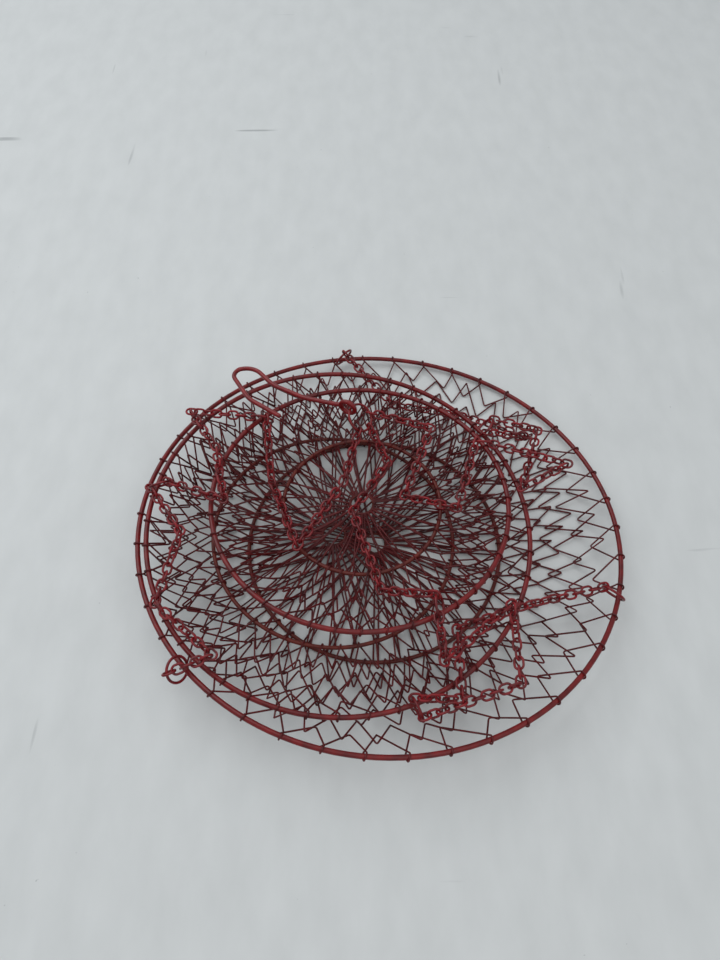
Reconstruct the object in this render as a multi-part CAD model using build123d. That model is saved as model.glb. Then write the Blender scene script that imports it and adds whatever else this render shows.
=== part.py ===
from build123d import *
from math import acos, ceil, cos, degrees, pi, radians, sin, sqrt
import os

# A three-tier hanging basket of painted steel wire, folded down flat on a table.
# Millimetres, +Z up. The origin is the middle of the bottom tier's base ring, on the table.
# Every tier is a rim and a smaller base ring joined by loose wire mesh. Small rings on each rim
# hold the chains, three between each pair of tiers and three up to the ring under the hook.

# Wire diameters
RIM_WIRE = 3.1
BASE_WIRE = 2.5
RING_WIRE = 1.6
LINK_WIRE = 1.4
HOOK_WIRE = 3.0
MESH_THICKNESS = 1.0

# The slack wall hangs this far under its rim, and leans less than the rim does
WALL_DROP = 7.5
WALL_INSET = 6
WALL_SLOPE_SHARE = 0.6
WALL_RISE = 0.2
FLOOR_GAP = 0.35

# Each tier where it lies: centres, and slopes as the fall towards +X and +Y
TIERS = {
    "bottom": {
        "rim_radius": 152.5, "rim_centre": (4.5, 6.5, 19), "rim_slope": (0.050, 0.088),
        "base_radius": 81.5, "base_centre": (0, 0, 1.25), "base_slope": (0, 0),
        "ring_angles": (-20, 100, 223), "ring_lie": (148, 115, 30), "ring_lean": (-32, -54, 40),
        "opening": 60,
    },
    "middle": {
        "rim_radius": 119, "rim_centre": (-21.5, -2.5, 29), "rim_slope": (0.049, -0.055),
        "base_radius": 77.5, "base_centre": (-26, 2.5, 8.2), "base_slope": (0.060, 0),
        "ring_angles": (-69, 38, 168), "ring_lie": (35, 35, 130), "ring_lean": (7, 40, 220),
        "opening": 55,
    },
    "top": {
        "rim_radius": 92, "rim_centre": (-9, 10.5, 40.5), "rim_slope": (0.022, 0.060),
        "base_radius": 51, "base_centre": (-8, 19, 19.3), "base_slope": (0, 0),
        "ring_angles": (-60, 28, 137), "ring_lie": (130, 130, 130), "ring_lean": (140, 140, 220),
        "opening": 45,
    },
}
TURN = {"middle": 55.6, "top": 10}
CHAIN_REACH = 170

# Connecting rings, threaded on the rims
RING_RADIUS = 7.2
RING_OFFSET = 4.55
LOWER_CHAIN_SEAT = 75

# Chain links, and where one link's end bar stands against the next
LINK_LENGTH = 8.5
LINK_WIDTH = 6.5
LOOSEST_PITCH = 5.6
RING_GAP = 2.3
TURN_GAP = 2.5
RUNS = 4
MOST_SLACK = 3.0
EASING_ROUNDS = 40

# Hanger ring and hook
HANGER_CENTRE = (-9, 67, 49)
HANGER_RADIUS = 9
HANGER_LEAN = 45
HANGER_SEATS = (0, -65, 65)
HOOK_HEADING = 154
HOOK_DIP = 4
EYE_RADIUS = 5.0
EYE_GAP = 0.4
HOOK_POINTS = ((5, 0), (30, 4), (55, 2), (77, -8), (88, 3), (64, 19), (38, 24))
HOOK_FILLETS = (40, 30, 14, 6, 20)

# Each chain's route at rest, by the three points where it turns back; the points are then eased
# towards or away from the straight line between its ends until the chain's length fits
ROUTES = {
    "lower_chain_1": ((91, -55, 27), (45, -70, 26), (47, -113, 26)),
    "lower_chain_2": ((15, 108, 11), (68, 96, 12), (107, 69, 24)),
    "lower_chain_3": ((-91, -92, 40), (-126, -62, 42), (-117, -16, 44)),
    "upper_chain_1": ((78, -108, 39), (78, -62, 42), (36, -100, 50)),
    "upper_chain_2": ((110, 66, 37), (92, 14, 43), (121, 25, 55)),
    "upper_chain_3": ((-92, 2, 52), (-101, 44, 47), (-121, 75, 45)),
    "hanger_chain_1": ((3, -52, 38), (-14, 7, 30), (9, 43, 32)),
    "hanger_chain_2": ((52, 8, 32), (19, 19, 29), (38, 66, 39)),
    "hanger_chain_3": ((-66, 28, 33), (-48, -18, 29), (-20, 24, 37)),
}
UP = Vector(0, 0, 1)


def sloped(slope):
    """The upward normal of a plane that falls towards +X and +Y by the given slopes."""
    return Vector(slope[0], slope[1], 1).normalized()


def turned(vector, axis, angle):
    """A vector turned about an axis through the origin, by the right-hand rule, in degrees."""
    k, c, s = axis.normalized(), cos(radians(angle)), sin(radians(angle))
    return vector * c + k.cross(vector) * s + k * (k.dot(vector) * (1 - c))


def between(a, b):
    """The angle between two vectors, in degrees."""
    return degrees(acos(max(-1.0, min(1.0, a.normalized().dot(b.normalized())))))


def heading(angle, climb):
    """A direction by its heading from +X and its climb above level, in degrees."""
    a, c = radians(angle), radians(climb)
    return Vector(cos(a) * cos(c), sin(a) * cos(c), sin(c))


def tilted_plane(centre, slope):
    """A plane through a centre that falls by the given slopes, its X axis above +X."""
    normal = sloped(slope)
    return Plane(origin=centre, x_dir=Vector(1, 0, 0) - normal * normal.X, z_dir=normal)


def rim_frame(tier, angle):
    """A rim's point at an angle, with its outward, along-wire and plane-normal directions."""
    t = TIERS[tier]
    normal = sloped(t["rim_slope"])
    east = (Vector(1, 0, 0) - normal * normal.X).normalized()
    north = normal.cross(east)
    a = radians(angle)
    outward = east * cos(a) + north * sin(a)
    point = Vector(*t["rim_centre"]) + outward * t["rim_radius"]
    return point, outward, normal.cross(outward), normal


class ConnectingRing:
    """A small ring threaded on a rim: where it lies, and its turn to stand up when pulled."""

    def __init__(self, tier, number):
        t = TIERS[tier]
        self.name = f"{tier}_ring_{number + 1}"
        self.rim_point, outward, along, normal = rim_frame(tier, t["ring_angles"][number])
        lie = t["ring_lie"][number]
        self.far = outward * cos(radians(lie)) + normal * sin(radians(lie))
        self.axis = along * -1
        self.rise = 90 - lie
        side = self.far.cross(along)
        lean = radians(t["ring_lean"][number])
        self.across = along * -sin(lean) + side * cos(lean)
        self.centre = self.rim_point + self.far * RING_OFFSET
        self.top = self.centre + self.far * RING_RADIUS
        seat = radians(LOWER_CHAIN_SEAT)
        self.seat_direction = self.across * sin(seat) - self.far * cos(seat)
        self.seat = self.centre + self.seat_direction * RING_RADIUS

    def raised(self, point):
        """Where a point of the ring stands once the ring is pulled upright."""
        return self.rim_point + turned(point - self.rim_point, self.axis, self.rise)

    def solid(self):
        plane = Plane(origin=self.centre, x_dir=self.far, z_dir=self.far.cross(self.across))
        return Solid.make_torus(RING_RADIUS, RING_WIRE / 2, plane)


def lift_vector(tier):
    """How far a tier's base moves, in its lower tier's frame, when its chains hang straight."""
    below = {"middle": "bottom", "top": "middle"}[tier]
    t, b = TIERS[tier], TIERS[below]
    base, normal = Vector(*t["base_centre"]), sloped(t["base_slope"])
    rim = base + turned(Vector(*t["rim_centre"]) - base, normal, TURN[tier])
    rim += normal * t["opening"]
    inward = b["rim_radius"] - t["rim_radius"] + RING_OFFSET
    height = sqrt(CHAIN_REACH**2 - inward**2) + RING_OFFSET + RING_RADIUS
    return Vector(*b["rim_centre"]) + UP * height - rim


def hung(tier, point):
    """Where a point on a tier's rim stands, in its lower tier's frame, once that tier is lifted."""
    t = TIERS[tier]
    base, normal = Vector(*t["base_centre"]), sloped(t["base_slope"])
    spun = base + turned(point - base, normal, TURN[tier])
    return spun + normal * t["opening"] + lift_vector(tier)


class HangerRing:
    """The ring that gathers the three top chains under the hook's eye."""

    def __init__(self):
        self.hook_way = heading(HOOK_HEADING, -HOOK_DIP)
        self.level = UP.cross(self.hook_way).normalized()
        self.top_way = turned(self.hook_way, self.level, -HANGER_LEAN)
        self.centre = Vector(*HANGER_CENTRE)
        self.eye_point = self.centre + self.top_way * HANGER_RADIUS

    def seat(self, number):
        """A chain's place on the lower half of the ring, and the wire's direction there."""
        a = radians(HANGER_SEATS[number])
        way = self.level * sin(a) - self.top_way * cos(a)
        along = self.level * cos(a) + self.top_way * sin(a)
        return self.centre + way * HANGER_RADIUS, along

    def lift(self):
        """How far the hanger ring moves in the top tier's frame when its chains hang straight."""
        t = TIERS["top"]
        reach = t["rim_radius"]
        height = sqrt(CHAIN_REACH**2 - reach**2) + RING_OFFSET + RING_RADIUS + HANGER_RADIUS
        return Vector(*t["rim_centre"]) + UP * height - self.centre

    def solid(self):
        plane = Plane(origin=self.centre, x_dir=self.top_way, z_dir=self.top_way.cross(self.level))
        return Solid.make_torus(HANGER_RADIUS, RING_WIRE / 2, plane)


class Chain:
    """One chain in rigid runs of links, heaped at rest and straight when its tier is lifted."""

    def __init__(self, name, start, end, end_along, end_raised):
        self.name, self.ring = name, start
        raised_start = start.raised(start.top)
        span = end_raised - raised_start
        self.pull = span.normalized()
        self.points = self.eased(start.top, end, ROUTES[name], span.length)
        self.ways = [(b - a).normalized() for a, b in zip(self.points, self.points[1:])]
        self.start_along, self.end_along = start.across, end_along

    @staticmethod
    def eased(start, end, route, length):
        """A route's points, moved towards or from the line between its ends to give its length."""
        def moved(share):
            points = [start]
            for i, place in enumerate(route):
                foot = start + (end - start) * ((i + 1) / RUNS)
                points.append(foot + (Vector(*place) - foot) * share)
            return points + [end]

        low, high = 0.0, MOST_SLACK
        for _ in range(EASING_ROUNDS):
            share = (low + high) / 2
            points = moved(share)
            if sum((b - a).length for a, b in zip(points, points[1:])) < length:
                low = share
            else:
                high = share
        return points

    def bends(self):
        """Each pivot's point, axis and turn in degrees that straightens the chain there."""
        ring_pull = turned(self.pull, self.ring.axis, -self.ring.rise)
        bends = [(self.points[0], self.ways[0].cross(ring_pull), between(self.ways[0], ring_pull))]
        for i in range(1, RUNS):
            axis = self.ways[i].cross(self.ways[i - 1])
            bends.append((self.points[i], axis, between(self.ways[i], self.ways[i - 1])))
        return bends

    def spacing(self, i):
        """A run's number of links, their pitch, and the gap from its pivot to its first end bar."""
        bar = LINK_LENGTH - LINK_WIRE
        gap = RING_GAP if i == 0 else TURN_GAP
        lengths = (self.points[i + 1] - self.points[i]).length
        row = lengths + gap - bar + (RING_GAP if i == RUNS - 1 else 0)
        steps = ceil(row / LOOSEST_PITCH)
        return steps + 1, row / steps, gap

    def run(self, i):
        """A run's links, each turned a quarter from the last, and its end links square to its bends."""
        way = self.ways[i]
        before = self.start_along if i == 0 else self.ways[i - 1].cross(way)
        first = way.cross(before).normalized()
        if i < RUNS - 1:
            last = way.cross(self.ways[i + 1]).normalized()
        else:
            last = way.cross(self.end_along).normalized()
        count, pitch, gap = self.spacing(i)
        angle = between(first, last)
        if first.cross(last).dot(way) < 0:
            angle = -angle
        odd = (angle - 90 * (count - 1) + 90) % 180 - 90
        step = 90 + odd / (count - 1)
        bar = LINK_LENGTH - LINK_WIRE
        links = []
        for k in range(count):
            centre = self.points[i] + way * (bar / 2 - gap + k * pitch)
            wide = turned(first, way, k * step)
            plane = Plane(origin=centre, x_dir=way, z_dir=way.cross(wide))
            links.append(LINK.moved(Location(plane)))
        return Compound(children=links)


def link():
    """One oval link of round wire, lying along X in the XY plane."""
    half = (LINK_LENGTH - LINK_WIDTH) / 2
    radius = (LINK_WIDTH - LINK_WIRE) / 2
    path = Wire([
        Line((-half, radius), (half, radius)),
        ThreePointArc((half, radius), (half + radius, 0), (half, -radius)),
        Line((half, -radius), (-half, -radius)),
        ThreePointArc((-half, -radius), (-half - radius, 0), (-half, radius)),
    ])
    section = Face(Wire.make_circle(LINK_WIRE / 2, Plane(origin=(-half, radius, 0), z_dir=(1, 0, 0))))
    return Solid.sweep(section, path)


def hoop(radius, wire, centre, slope):
    """A closed ring of round wire."""
    return Solid.make_torus(radius, wire / 2, tilted_plane(centre, slope))


def floor_mesh(tier):
    """The flat space of the floor's radial wires, inside the base ring."""
    t = TIERS[tier]
    normal = sloped(t["base_slope"])
    radius = t["base_radius"] - BASE_WIRE / 2 - FLOOR_GAP
    low = Vector(*t["base_centre"]) - normal * (BASE_WIRE / 2)
    return Solid.make_cylinder(radius, MESH_THICKNESS, Plane(origin=low, z_dir=normal))


def wall_mesh(tier):
    """The slack side wall as it lies, a thin skin from beside the base ring to under the rim."""
    t = TIERS[tier]
    rim_slope = [WALL_SLOPE_SHARE * slope for slope in t["rim_slope"]]
    low = Vector(*t["base_centre"]) + UP * WALL_RISE
    high = Vector(*t["rim_centre"]) - UP * WALL_DROP
    inner = Edge.make_circle(t["base_radius"] + BASE_WIRE, tilted_plane(low, t["base_slope"]))
    outer = Edge.make_circle(t["rim_radius"] - WALL_INSET, tilted_plane(high, rim_slope))
    return Solid.extrude(Face.make_surface_from_curves(outer, inner), UP * MESH_THICKNESS)


def hook(ring):
    """The hook: a bent wire with an eye turned across it, lying on its side."""
    way, side = ring.hook_way, ring.level
    normal = way.cross(side)
    eye_centre = ring.eye_point + way * (EYE_RADIUS - HOOK_WIRE / 2 - RING_WIRE / 2 - EYE_GAP)
    plane = Plane(origin=eye_centre, x_dir=way, z_dir=normal)
    path = FilletPolyline(*[plane.from_local_coords((x, y, 0)) for x, y in HOOK_POINTS],
                          radius=HOOK_FILLETS)
    section = Face(Wire.make_circle(HOOK_WIRE / 2, Plane(origin=path @ 0, z_dir=path % 0)))
    stem = Solid.sweep(section, path)
    tip = Solid.make_sphere(HOOK_WIRE / 2, Plane(origin=path @ 1))
    eye = Solid.make_torus(EYE_RADIUS, HOOK_WIRE / 2, Plane(origin=eye_centre, z_dir=side))
    return stem + tip + eye


def write(name, shape):
    shape.label = name
    export_step(shape, f"parts/{name}.step")


LINK = link()
HANGER = HangerRing()
RINGS = {(tier, n): ConnectingRing(tier, n) for tier in TIERS for n in range(3)}
CHAINS = []
for lower, upper, kind in (("bottom", "middle", "lower"), ("middle", "top", "upper")):
    for n in range(3):
        above = RINGS[upper, n]
        along = above.seat_direction.cross(above.far.cross(above.across))
        end_raised = hung(upper, above.raised(above.seat))
        CHAINS.append(
            Chain(f"{kind}_chain_{n + 1}", RINGS[lower, n], above.seat, along, end_raised)
        )
for n in range(3):
    place, along = HANGER.seat(n)
    CHAINS.append(
        Chain(f"hanger_chain_{n + 1}", RINGS["top", n], place, along, place + HANGER.lift())
    )


def build():
    os.makedirs("parts", exist_ok=True)
    for tier, t in TIERS.items():
        write(f"{tier}_rim", hoop(t["rim_radius"], RIM_WIRE, t["rim_centre"], t["rim_slope"]))
        write(f"{tier}_base_ring", hoop(t["base_radius"], BASE_WIRE, t["base_centre"], t["base_slope"]))
        write(f"{tier}_floor_mesh", floor_mesh(tier))
        write(f"{tier}_wall_mesh", wall_mesh(tier))
    for ring in RINGS.values():
        write(ring.name, ring.solid())
    write("hanger_ring", HANGER.solid())
    write("hook", hook(HANGER))
    for chain in CHAINS:
        for i in range(RUNS):
            write(f"{chain.name}_run_{i + 1}", chain.run(i))


build()
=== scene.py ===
import bpy
import math
import random
import numpy as np
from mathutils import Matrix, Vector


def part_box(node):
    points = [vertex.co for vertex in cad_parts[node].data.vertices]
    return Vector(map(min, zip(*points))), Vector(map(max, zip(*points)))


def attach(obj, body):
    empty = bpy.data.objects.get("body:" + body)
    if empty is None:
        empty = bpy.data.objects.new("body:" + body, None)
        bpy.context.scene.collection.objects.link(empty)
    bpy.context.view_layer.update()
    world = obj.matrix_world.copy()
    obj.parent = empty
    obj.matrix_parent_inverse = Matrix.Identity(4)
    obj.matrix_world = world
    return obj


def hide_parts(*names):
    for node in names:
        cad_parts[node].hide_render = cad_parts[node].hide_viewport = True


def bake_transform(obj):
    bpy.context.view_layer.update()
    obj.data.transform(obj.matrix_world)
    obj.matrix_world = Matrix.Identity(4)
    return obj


# A three-tier hanging wire basket, folded flat on a pale table. Metres, +Z up.
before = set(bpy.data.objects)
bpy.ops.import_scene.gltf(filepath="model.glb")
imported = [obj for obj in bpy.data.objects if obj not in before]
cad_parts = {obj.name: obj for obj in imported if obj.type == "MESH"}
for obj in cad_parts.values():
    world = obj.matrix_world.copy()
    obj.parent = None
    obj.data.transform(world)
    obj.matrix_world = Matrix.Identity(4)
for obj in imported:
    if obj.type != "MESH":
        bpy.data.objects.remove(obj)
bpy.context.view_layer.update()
TAU = 2 * math.pi

# Wire sizes
MESH_WIRE = 0.0011
CENTRE_WIRE = 0.0018

# Each tier's mesh: loops round the rim, courses of zigzag from rim to base, floor spokes, and how
# far each course's peaks reach past the last one's valleys
TIERS = {
    "bottom": {"loops": 42, "courses": 6, "spokes": 34, "slack": 0.42, "sag": 0.008, "floor": "bottom_base"},
    "middle": {"loops": 44, "courses": 5, "spokes": 34, "slack": 0.50, "sag": 0.007, "floor": "middle_floor"},
    "top": {"loops": 40, "courses": 5, "spokes": 28, "slack": 0.45, "sag": 0.007, "floor": "top_floor"},
}
SECTORS = 12
CENTRE_RING_RADIUS = 0.0075
SEED = 5

# How each turn of wire round a ring runs
WRAP_START = 40
WRAP_SWEEP = 280
WRAP_STEPS = 8
WRAP_ADVANCE = 0.0022
WRAP_GAP = 0.0001

# How far the zigzags' corners wander, as shares of a step round the wall or of the wall's depth
PEAK_WANDER = 0.12
VALLEY_WANDER = 0.16
GATHER_SLIP = 0.35
PEAK_DRIFT = 0.25
VALLEY_DRIFT = 0.55
HIGHEST_PEAK = 0.07
LOWEST_VALLEY = 0.96
CORNER_RADIUS = 0.0018
SPOKE_CORNER_RADIUS = 0.004
FLOOR_RISE = 0.0004

# Specks and two ways of scratch on the table: noise scale, threshold and stretch
TABLE_MARKS = ((230, 0.77, (1, 1, 1)), (26, 0.735, (0.25, 2.6, 1)), (19, 0.74, (3.2, 0.3, 1)))

# The camera stands in front of the basket and looks down on it
CAMERA_BACK = 0.2587
CAMERA_HEIGHT = 0.4586
CAMERA_SIDE = -0.0092
CAMERA_PITCH = 55.97
CAMERA_LENS = 30.0


# Vectors and wires

def unit(v):
    return v / np.linalg.norm(v)


class Ring:
    """A CAD ring of wire: its centre, plane, radius and wire radius, read from its own mesh."""

    def __init__(self, node):
        points = np.array([v.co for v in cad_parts[node].data.vertices])
        low, high = (np.array(corner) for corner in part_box(node))
        self.centre = (low + high) / 2
        spread = points - self.centre
        self.normal = np.linalg.svd(spread.T @ spread)[0][:, 2]
        self.normal *= math.copysign(1, self.normal[2])
        self.east = unit(np.array([1.0, 0, 0]) - self.normal * self.normal[0])
        self.north = np.cross(self.normal, self.east)
        across = np.linalg.norm(spread - np.outer(spread @ self.normal, self.normal), axis=1)
        self.radius = (across.max() + across.min()) / 2
        self.wire = (across.max() - across.min()) / 2

    def outward(self, angle):
        return self.east * math.cos(angle) + self.north * math.sin(angle)

    def at(self, angle, radius=None):
        return self.centre + self.outward(angle) * (self.radius if radius is None else radius)


def rounded(points, radius, steps=3):
    """A path with each corner cut to a small curve; tight corners take a smaller one."""
    path = [points[0]]
    for before, corner, after in zip(points, points[1:], points[2:]):
        to_before, to_after = before - corner, after - corner
        reach = min(radius, np.linalg.norm(to_before) * 0.45, np.linalg.norm(to_after) * 0.45)
        a, b = corner + unit(to_before) * reach, corner + unit(to_after) * reach
        for k in range(steps + 1):
            t = k / steps
            path.append(a * (1 - t) ** 2 + corner * 2 * t * (1 - t) + b * t * t)
    return path + [points[-1]]


def tube(path, radius, sides=6):
    """Vertices and faces of a round wire along a path."""
    path = np.array(path)
    heads = np.gradient(path, axis=0)
    heads /= np.linalg.norm(heads, axis=1)[:, None] + 1e-12
    side = unit(np.cross(heads[0], [0.13, 0.21, 0.97]))
    verts, faces = [], []
    for i, (point, head) in enumerate(zip(path, heads)):
        side = unit(side - head * (side @ head))
        up = np.cross(head, side)
        for k in range(sides):
            a = TAU * k / sides
            verts.append(point + (side * math.cos(a) + up * math.sin(a)) * radius)
        if i:
            now, last = i * sides, (i - 1) * sides
            for k in range(sides):
                n = (k + 1) % sides
                faces.append((last + k, last + n, now + n, now + k))
    faces.append(tuple(range(sides))[::-1])
    faces.append(tuple(range(len(verts) - sides, len(verts))))
    return verts, faces


def wires(name, paths, radius, material):
    """One mesh object of several wires."""
    verts, faces = [], []
    for path in paths:
        v, f = tube(path, radius)
        faces += [tuple(i + len(verts) for i in face) for face in f]
        verts += v
    mesh = bpy.data.meshes.new(name)
    mesh.from_pydata([tuple(v) for v in verts], [], faces)
    mesh.materials.append(material)
    mesh.polygons.foreach_set("use_smooth", [True] * len(mesh.polygons))
    thing = bpy.data.objects.new(name, mesh)
    bpy.context.collection.objects.link(thing)
    return thing


# Materials

def new_material(name):
    material = bpy.data.materials.new(name)
    material.use_nodes = True
    nodes = material.node_tree.nodes
    return material, nodes, material.node_tree.links, nodes["Principled BSDF"]


def enamel(name, dark, light, roughness, coat, scale=140):
    """Glossy paint over wire: colour drifts from thin to thick, with fine drips and dust."""
    material, nodes, links, surface = new_material(name)
    place = nodes.new("ShaderNodeTexCoord")
    drift = nodes.new("ShaderNodeTexNoise")
    drift.inputs["Scale"].default_value = scale
    drift.inputs["Detail"].default_value = 4
    ramp = nodes.new("ShaderNodeValToRGB")
    ramp.color_ramp.elements[0].position = 0.35
    ramp.color_ramp.elements[0].color = (*dark, 1)
    ramp.color_ramp.elements[1].position = 0.7
    ramp.color_ramp.elements[1].color = (*light, 1)
    shine = nodes.new("ShaderNodeMapRange")
    shine.inputs["To Min"].default_value = roughness - 0.08
    shine.inputs["To Max"].default_value = roughness + 0.12
    grain = nodes.new("ShaderNodeTexNoise")
    grain.inputs["Scale"].default_value = scale * 9
    bump = nodes.new("ShaderNodeBump")
    bump.inputs["Strength"].default_value = 0.25
    bump.inputs["Distance"].default_value = 0.0002
    links.new(place.outputs["Object"], drift.inputs["Vector"])
    links.new(place.outputs["Object"], grain.inputs["Vector"])
    links.new(drift.outputs["Fac"], ramp.inputs["Fac"])
    links.new(ramp.outputs["Color"], surface.inputs["Base Color"])
    links.new(drift.outputs["Fac"], shine.inputs["Value"])
    links.new(shine.outputs["Result"], surface.inputs["Roughness"])
    links.new(grain.outputs["Fac"], bump.inputs["Height"])
    links.new(bump.outputs["Normal"], surface.inputs["Normal"])
    surface.inputs["Coat Weight"].default_value = coat
    surface.inputs["Coat Roughness"].default_value = 0.15
    surface.inputs["Specular IOR Level"].default_value = 0.35
    return material


def marks(nodes, links, place, colour, scale, edge, shape):
    """Faint dark specks or scratches over a colour, where a stretched noise is at its highest."""
    stretch = nodes.new("ShaderNodeMapping")
    stretch.inputs["Scale"].default_value = shape
    spots = nodes.new("ShaderNodeTexNoise")
    spots.inputs["Scale"].default_value = scale
    spots.inputs["Detail"].default_value = 2
    edges = nodes.new("ShaderNodeMapRange")
    edges.inputs["From Min"].default_value = edge
    edges.inputs["From Max"].default_value = edge + 0.04
    edges.inputs["To Max"].default_value = 0.45
    blend = nodes.new("ShaderNodeMix")
    blend.data_type = "RGBA"
    share, under, over = blend.inputs[0], blend.inputs[6], blend.inputs[7]
    over.default_value = (0.12, 0.13, 0.14, 1)
    links.new(place.outputs["Object"], stretch.inputs["Vector"])
    links.new(stretch.outputs["Vector"], spots.inputs["Vector"])
    links.new(spots.outputs["Fac"], edges.inputs["Value"])
    links.new(edges.outputs["Result"], share)
    links.new(colour, under)
    return blend.outputs[2]


def table_top():
    """Off-white paint, faintly brushed and speckled."""
    material, nodes, links, surface = new_material("table_paint")
    place = nodes.new("ShaderNodeTexCoord")
    stretch = nodes.new("ShaderNodeMapping")
    stretch.inputs["Scale"].default_value = (1.0, 0.45, 1.0)
    brush = nodes.new("ShaderNodeTexNoise")
    brush.inputs["Scale"].default_value = 60
    brush.inputs["Detail"].default_value = 6
    ramp = nodes.new("ShaderNodeValToRGB")
    ramp.color_ramp.elements[0].position = 0.3
    ramp.color_ramp.elements[0].color = (0.575, 0.59, 0.585, 1)
    ramp.color_ramp.elements[1].position = 0.7
    ramp.color_ramp.elements[1].color = (0.615, 0.63, 0.625, 1)
    bump = nodes.new("ShaderNodeBump")
    bump.inputs["Strength"].default_value = 0.12
    bump.inputs["Distance"].default_value = 0.0004
    links.new(place.outputs["Object"], stretch.inputs["Vector"])
    links.new(stretch.outputs["Vector"], brush.inputs["Vector"])
    links.new(brush.outputs["Fac"], ramp.inputs["Fac"])
    links.new(brush.outputs["Fac"], bump.inputs["Height"])
    colour = ramp.outputs["Color"]
    for scale, edge, shape in TABLE_MARKS:
        colour = marks(nodes, links, place, colour, scale, edge, shape)
    links.new(colour, surface.inputs["Base Color"])
    links.new(bump.outputs["Normal"], surface.inputs["Normal"])
    surface.inputs["Roughness"].default_value = 0.55
    return material


RIM = enamel("rim_enamel", (0.095, 0.0015, 0.0025), (0.20, 0.004, 0.005), 0.34, 0.12)
BASE = enamel("base_enamel", (0.08, 0.005, 0.002), (0.14, 0.014, 0.006), 0.44, 0.05)
NETTING = enamel("mesh_enamel", (0.055, 0.001, 0.0015), (0.12, 0.0025, 0.004), 0.42, 0.05)
CHAIN = enamel("chain_enamel", (0.09, 0.001, 0.003), (0.26, 0.004, 0.009), 0.34, 0.15)
HOOK = enamel("hook_enamel", (0.13, 0.0015, 0.003), (0.25, 0.005, 0.007), 0.32, 0.18)


def paint(node, material):
    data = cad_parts[node].data
    data.materials.clear()
    data.materials.append(material)


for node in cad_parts:
    if node.endswith("_rim"):
        paint(node, RIM)
    elif node.endswith("_base_ring"):
        paint(node, BASE)
    elif node in ("hook", "hanger_ring"):
        paint(node, HOOK)
    else:
        paint(node, CHAIN)


# Wire netting

class Wall:
    """One tier's slack wall: zigzag courses from its rim in to its base ring."""

    def __init__(self, tier):
        self.tier, self.plan = tier, TIERS[tier]
        self.rim, self.base = Ring(f"{tier}_rim"), Ring(f"{tier}_base_ring")
        self.random = random.Random(f"{SEED} {tier}")
        self.swirl = [(self.random.uniform(0, TAU), k) for k in (2, 3, 5)]

    def point(self, angle, depth, lift=0.0):
        """A place on the slack wall: depth 0 at the rim and 1 at the base ring."""
        outer = self.rim.at(angle, self.rim.radius - self.rim.wire)
        inner = self.base.at(angle, self.base.radius + self.base.wire)
        place = outer * (1 - depth) + inner * depth
        place[2] += lift - self.plan["sag"] * math.sin(math.pi * min(max(depth, 0), 1)) ** 0.7
        place[2] = max(place[2], MESH_WIRE)
        return place

    def wave(self, angle, course):
        """A slow drift round the wall, so that the slack gathers more in some places."""
        return sum(math.sin(k * angle + start + course) for start, k in self.swirl) / 3

    def wrap(self, ring, angle, inside):
        """A turn of wire round a ring, from its inner side over and back; at a base, from outside."""
        side = -1 if inside else 1
        out = ring.outward(angle) * side
        along = np.cross(ring.normal, out)
        radius = ring.wire + MESH_WIRE / 2 + WRAP_GAP
        path = []
        for k in range(WRAP_STEPS + 1):
            turn = math.radians(WRAP_START + WRAP_SWEEP * k / WRAP_STEPS)
            around = out * math.cos(turn) + ring.normal * math.sin(turn)
            place = ring.at(angle) + around * radius + along * (k / WRAP_STEPS - 0.5) * WRAP_ADVANCE
            place[2] = max(place[2], MESH_WIRE / 2)
            path.append(place)
        return path

    def zigzag(self, course):
        """A course's corners in order: peak, valley, peak, with wraps where it meets a ring."""
        plan = self.plan
        courses, loops = plan["courses"], plan["loops"]
        step = TAU / loops
        height = (1 + plan["slack"] * (courses - 1) / courses) / courses
        top = course * (1 - height) / (courses - 1)
        corners = []
        for n in range(loops):
            middle = (n + 0.5 * (course % 2)) * step
            gather = self.wave(middle, course)
            jitter = self.random.uniform
            slip = GATHER_SLIP * height * gather
            peak_angle = middle + step * (PEAK_DRIFT * gather + jitter(-PEAK_WANDER, PEAK_WANDER))
            valley_drift = 0.5 + VALLEY_DRIFT * gather + jitter(-VALLEY_WANDER, VALLEY_WANDER)
            valley_angle = middle + step * valley_drift
            if course == 0:
                corners.append(("rim", middle))
            else:
                depth = max(top - abs(slip) + jitter(-0.05, 0.04), HIGHEST_PEAK)
                corners.append(("free", self.point(peak_angle, depth, jitter(0, 0.003))))
            if course == courses - 1:
                corners.append(("base", middle + step / 2))
            else:
                depth = min(top + height + slip * 0.5 + jitter(-0.04, 0.05), LOWEST_VALLEY)
                corners.append(("free", self.point(valley_angle, depth, jitter(-0.001, 0.002))))
        return corners

    def sectors(self):
        """Every course's wire, cut into sectors round the basket."""
        cut = [[] for _ in range(SECTORS)]
        for course in range(self.plan["courses"]):
            corners = self.zigzag(course)
            count = len(corners)
            for s in range(SECTORS):
                first, last = round(count * s / SECTORS), round(count * (s + 1) / SECTORS)
                cut[s].append(self.wire([corners[i % count] for i in range(first, last + 1)]))
        return cut

    def wire(self, corners):
        """A path through a run of corners, with a turn round the ring at each end that meets one."""
        path = []
        for i, (kind, where) in enumerate(corners):
            if kind == "free":
                path.append(where)
                continue
            ring = self.rim if kind == "rim" else self.base
            path += self.wrap(ring, where, kind == "rim")
        return rounded(path, CORNER_RADIUS)

    def build(self):
        """The wall's sectors, each one mesh of wire running from the rim in to the base ring, baked in place.
        """
        for s, paths in enumerate(self.sectors()):
            piece = wires(f"{self.tier}_netting_{s + 1}", paths, MESH_WIRE / 2, NETTING)
            angle = TAU * (s + 0.5) / SECTORS
            self.base.at(angle)
            self.rim.at(angle)
            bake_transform(piece)
        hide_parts(f"{self.tier}_wall_mesh")


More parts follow.
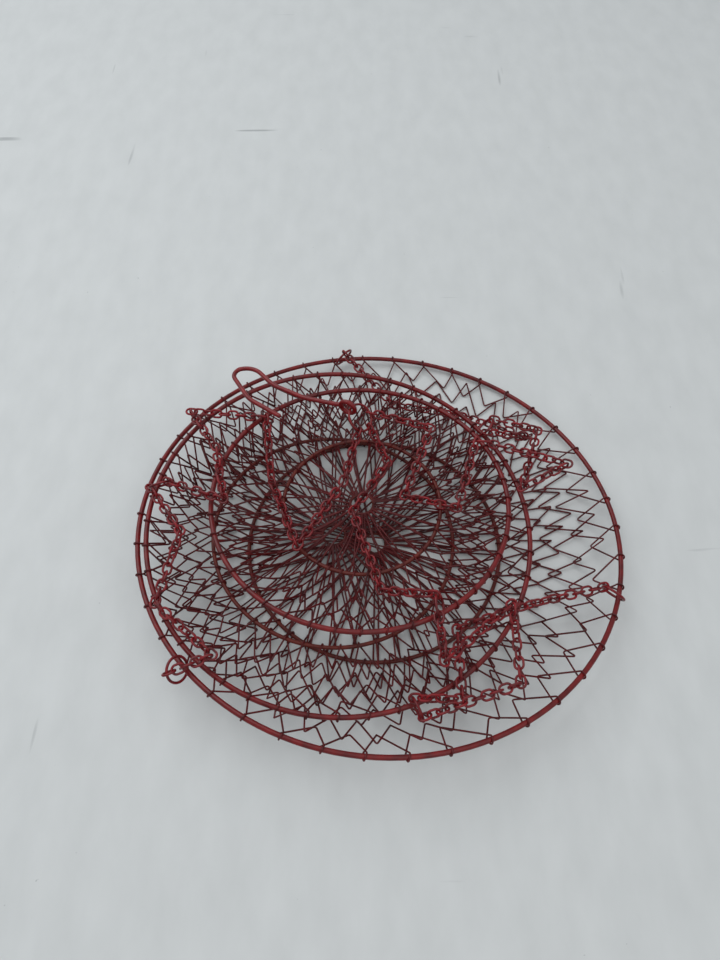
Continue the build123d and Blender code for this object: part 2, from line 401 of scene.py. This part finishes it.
def floor_netting(tier):
    """Narrow loops from the base ring in to a small centre ring."""
    plan, base = TIERS[tier], Ring(f"{tier}_base_ring")
    rng = random.Random(f"{SEED} {tier} floor")
    paths = []
    spokes = plan["spokes"]
    rise = base.normal * FLOOR_RISE
    for n in range(spokes):
        middle = (n + rng.uniform(-0.1, 0.1)) * TAU / spokes
        spread = TAU / spokes * rng.uniform(0.36, 0.46)
        left, right = base.at(middle - spread), base.at(middle + spread)
        tip = base.at(middle + rng.uniform(-0.1, 0.1), CENTRE_RING_RADIUS)
        side = np.cross(base.normal, base.outward(middle)) * 0.0009
        sway = side * rng.uniform(-2.5, 2.5)
        path = [left + rise, (left * 0.5 + tip * 0.5) - side + sway + rise, tip - side + rise,
                tip + side + rise, (right * 0.5 + tip * 0.5) + side + sway + rise, right + rise]
        paths.append(rounded(path, SPOKE_CORNER_RADIUS))
    centre = [base.at(TAU * k / 28, CENTRE_RING_RADIUS) for k in range(29)]
    piece = wires(f"{tier}_floor_netting", paths, MESH_WIRE / 2, NETTING)
    hub = wires(f"{tier}_centre_ring", [centre], CENTRE_WIRE / 2, BASE)
    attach(piece, plan["floor"])
    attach(hub, plan["floor"])
    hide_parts(f"{tier}_floor_mesh")


for tier in TIERS:
    Wall(tier).build()
    floor_netting(tier)


# Table, light and camera

def stage():
    mesh = bpy.data.meshes.new("table")
    mesh.from_pydata([(-3, -3, 0), (3, -3, 0), (3, 3, 0), (-3, 3, 0)], [], [(0, 1, 2, 3)])
    mesh.materials.append(table_top())
    table = bpy.data.objects.new("table", mesh)
    bpy.context.collection.objects.link(table)


def area_light(name, place, size, power, colour):
    data = bpy.data.lights.new(name, "AREA")
    data.size, data.energy, data.color = size, power, colour
    lamp = bpy.data.objects.new(name, data)
    lamp.location = place
    aim = -np.array(place)
    lamp.rotation_euler = (
        math.atan2(math.hypot(aim[0], aim[1]), -aim[2]), 0, math.atan2(aim[1], aim[0]) - math.pi / 2
    )
    bpy.context.collection.objects.link(lamp)


def camera():
    data = bpy.data.cameras.new("camera")
    data.sensor_fit, data.sensor_height, data.lens = "VERTICAL", 36.0, CAMERA_LENS
    view = bpy.data.objects.new("camera", data)
    view.location = (CAMERA_SIDE, -CAMERA_BACK, CAMERA_HEIGHT)
    view.rotation_euler = (math.radians(90 - CAMERA_PITCH), 0, 0)
    bpy.context.collection.objects.link(view)
    bpy.context.scene.camera = view


stage()
area_light("window", (-0.8, 0.7, 1.5), 1.6, 15, (0.95, 0.98, 1.0))
area_light("room", (0.6, -0.7, 1.8), 2.0, 9, (1.0, 0.98, 0.95))
camera()
world = bpy.data.worlds.new("world")
world.use_nodes = True
world.node_tree.nodes["Background"].inputs["Color"].default_value = (0.86, 0.90, 0.94, 1)
world.node_tree.nodes["Background"].inputs["Strength"].default_value = 0.55
bpy.context.scene.world = world
bpy.context.scene.view_settings.view_transform = "Standard"
